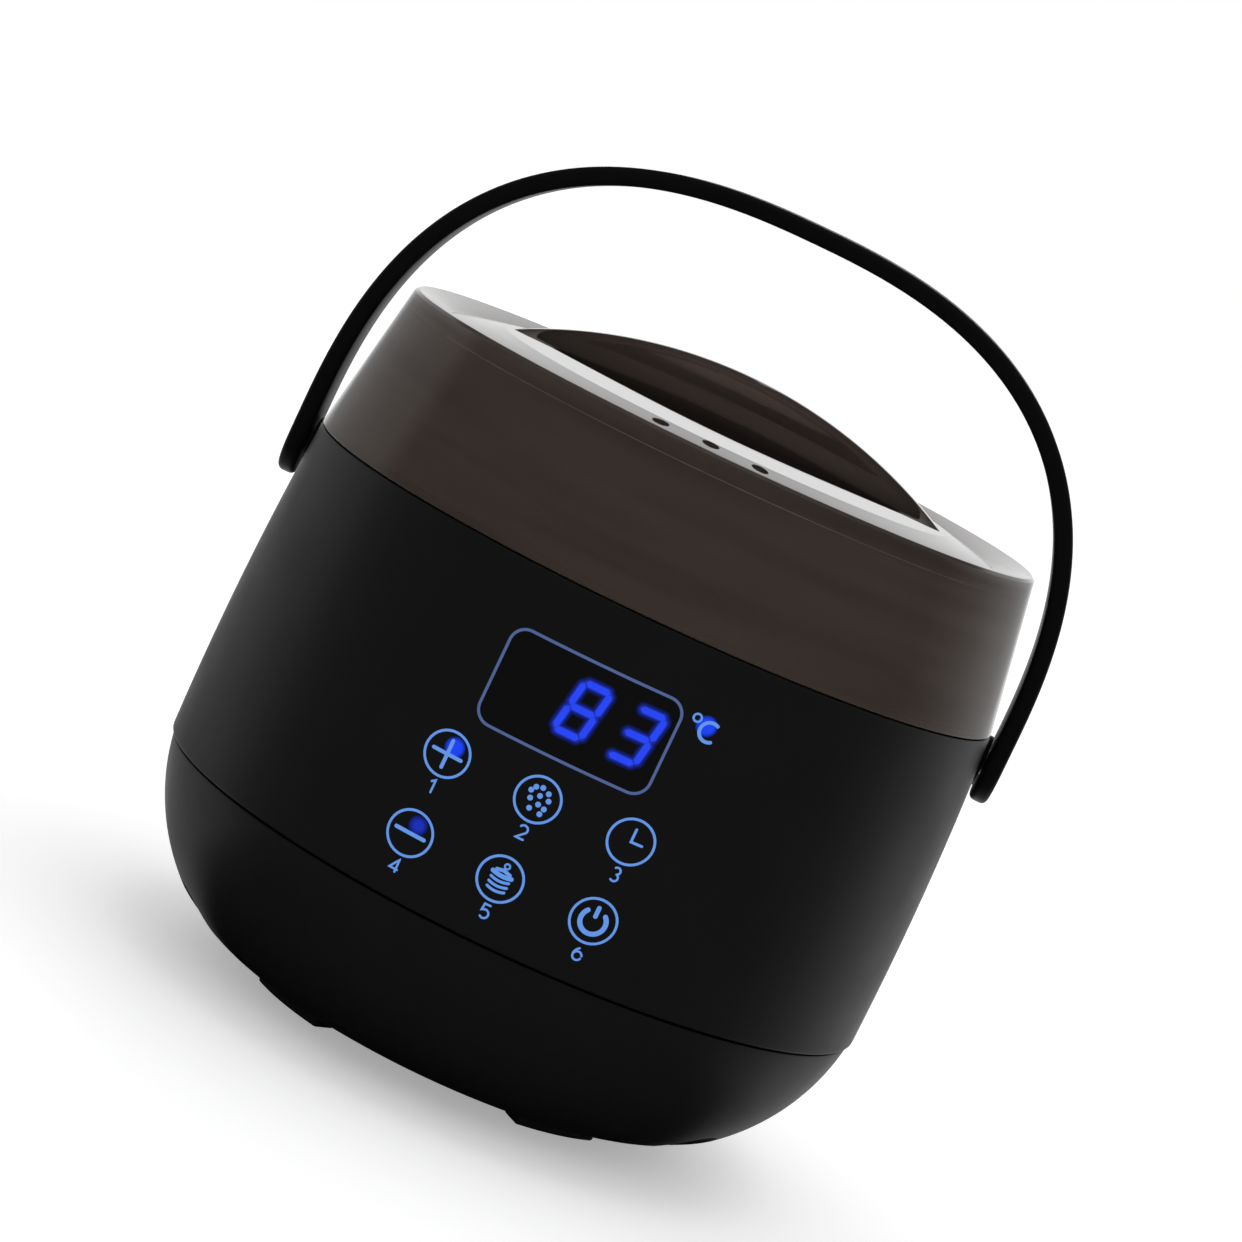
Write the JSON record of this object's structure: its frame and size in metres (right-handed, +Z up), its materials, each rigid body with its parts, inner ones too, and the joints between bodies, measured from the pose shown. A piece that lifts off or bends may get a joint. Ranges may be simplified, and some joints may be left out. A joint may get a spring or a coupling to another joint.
{
  "type": "wax warmer pot",
  "caption": "Round electric wax warmer with a numeric display and touch keys, a removable pot, a lift-off smoked lid and a swinging bail handle.",
  "frame": {"origin": "centre of the footprint on the surface that the warmer stands on", "axes": "+Z up along the body's axis, front panel facing -Y, bail pivots along X"},
  "size_m": [0.1766, 0.17, 0.2042],
  "materials": {
    "body_plastic": "satin black",
    "window_plastic": "gloss, smoked",
    "strap_plastic": "satin black",
    "lid_plastic": "gloss, smoked, translucent",
    "foot_rubber": "matt",
    "pot_aluminium": "drawn and brushed",
    "cup_aluminium": "spun, dull",
    "shield_sheet": "sheet",
    "heater_mica": "mica and foil",
    "heater_plate": "cast",
    "glass_wool": "felted",
    "ceramic_part": "glazed",
    "spring_steel": "bright",
    "circuit_board": "lacquered laminate",
    "display_block": "matt",
    "led_lens": "clear",
    "connector_plastic": "moulded",
    "ribbon_jacket": "extruded",
    "transformer_tape": "taped",
    "relay_case": "moulded",
    "capacitor_sleeve": "shrunk sleeve",
    "terminal_plastic": "moulded",
    "lead_silicone": "silicone",
    "lead_pvc": "satin",
    "inlet_plastic": "moulded",
    "pin_brass": "turned",
    "screw_steel": "zinc plated"
  },
  "bodies": {
    "housing": {"base_shell": "body_plastic", "foot_front_left": "foot_rubber", "foot_front_right": "foot_rubber", "foot_rear_left": "foot_rubber", "foot_rear_right": "foot_rubber", "case_screws": "screw_steel", "body_shell": "body_plastic", "top_deck": "body_plastic", "display_window": "window_plastic", "pivot_screws": "screw_steel", "pivot_spacers": "strap_plastic", "pivot_inserts": "pin_brass", "heating_cup": "cup_aluminium", "cup_screws": "screw_steel", "band_heater": "heater_mica", "heater_plate": "heater_plate", "insulation_sleeve": "glass_wool", "heat_shield": "shield_sheet", "temperature_sensor": "ceramic_part", "sensor_clip": "spring_steel", "thermal_fuse": "ceramic_part", "control_board": "circuit_board", "control_board_screws": "screw_steel", "led_display": "display_block", "touch_springs": "spring_steel", "key_leds": "led_lens", "ribbon_socket": "connector_plastic", "control_ribbon": "ribbon_jacket", "power_board": "circuit_board", "power_board_screws": "screw_steel", "power_transformer": "transformer_tape", "power_relay": "relay_case", "power_capacitor": "capacitor_sleeve", "terminal_block": "terminal_plastic", "ribbon_header": "connector_plastic", "heater_leads": "lead_silicone", "power_inlet": "inlet_plastic", "inlet_pins": "pin_brass", "inlet_leads": "lead_pvc"},
    "bail": {"bail": "strap_plastic"},
    "lid": {"lid_cover": "lid_plastic", "lid_grip": "lid_plastic"},
    "pot": {"inner_pot": "pot_aluminium"}
  },
  "joints": [
    {"name": "bail_swing", "type": "hinge", "parent": "housing", "child": "bail", "pos_m": [0, 0, 0.1117], "axis": [1, 0, 0], "range_deg": [-100, 100]},
    {"name": "lid_lift", "type": "slide", "parent": "housing", "child": "lid", "axis": [0, 0, 1], "range_m": [0, 0.004]},
    {"name": "pot_lift", "type": "slide", "parent": "housing", "child": "pot", "axis": [0, 0, 1], "range_m": [0, 0.018]}
  ]
}
